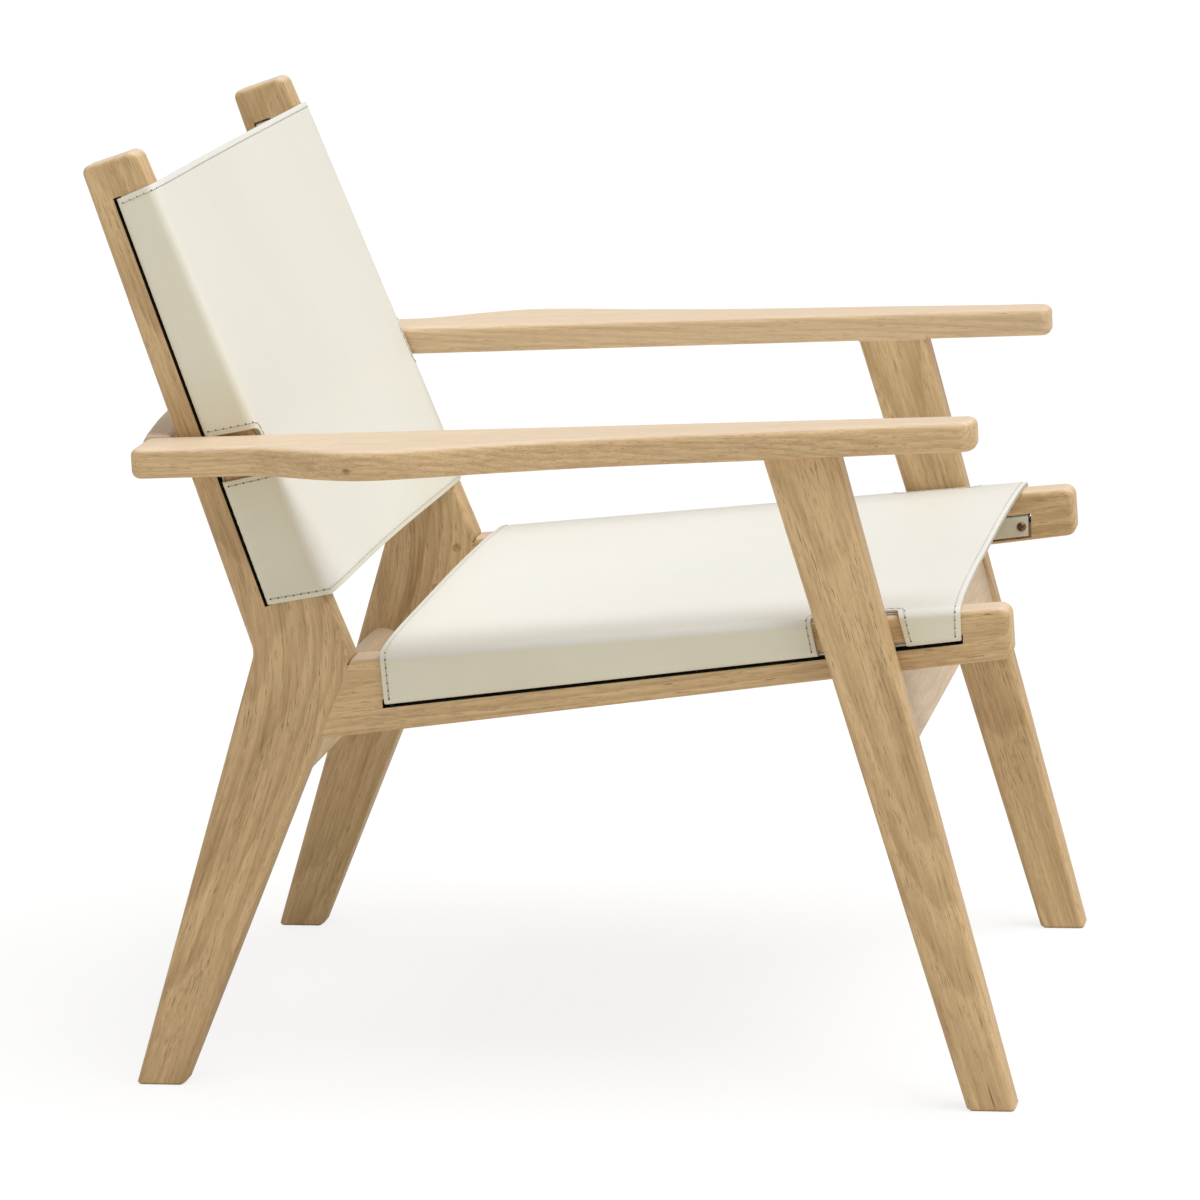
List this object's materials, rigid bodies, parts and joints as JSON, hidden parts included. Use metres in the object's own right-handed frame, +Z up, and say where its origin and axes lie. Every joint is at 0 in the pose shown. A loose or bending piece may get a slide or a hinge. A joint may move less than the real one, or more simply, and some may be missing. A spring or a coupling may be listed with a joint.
{
  "type": "lounge armchair",
  "caption": "Low open-frame lounge armchair in natural hardwood with a seat and a back of thick leather slung between the side frames.",
  "frame": {"origin": "on the floor under the middle of the chair's outer box", "axes": "+X the way a sitter faces, +Y the sitter's left, +Z up"},
  "size_m": [0.7274, 0.744, 0.7581],
  "materials": {
    "hardwood": "bleached open-grain hardwood, sanded, matt oil",
    "pin_wood": "end grain of hardwood pins, sanded",
    "ivory_leather": "smooth ivory saddle leather, two layers, stitched edges",
    "bronzed_steel": "dark bronzed round-head screws",
    "zinc_steel": "zinc plated furniture bolts",
    "brass": "threaded inserts"
  },
  "bodies": {
    "root": {"left_rear_leg": "hardwood", "right_rear_leg": "hardwood", "left_seat_rail": "hardwood", "right_seat_rail": "hardwood", "left_front_leg": "hardwood", "right_front_leg": "hardwood", "left_armrest": "hardwood", "right_armrest": "hardwood", "front_stretcher": "hardwood", "rear_stretcher": "hardwood", "bowed_back_rail": "hardwood", "seat_sling": "ivory_leather", "back_sling": "ivory_leather", "left_rail_tenon_pins": "pin_wood", "left_back_rail_dowels": "pin_wood", "left_front_leg_bolts": "zinc_steel", "left_arm_bolt": "zinc_steel", "left_front_leg_inserts": "brass", "left_arm_insert": "brass", "left_seat_screws": "bronzed_steel", "left_back_screws": "bronzed_steel", "right_rail_tenon_pins": "pin_wood", "right_back_rail_dowels": "pin_wood", "right_front_leg_bolts": "zinc_steel", "right_arm_bolt": "zinc_steel", "right_front_leg_inserts": "brass", "right_arm_insert": "brass", "right_seat_screws": "bronzed_steel", "right_back_screws": "bronzed_steel"}
  },
  "joints": []
}
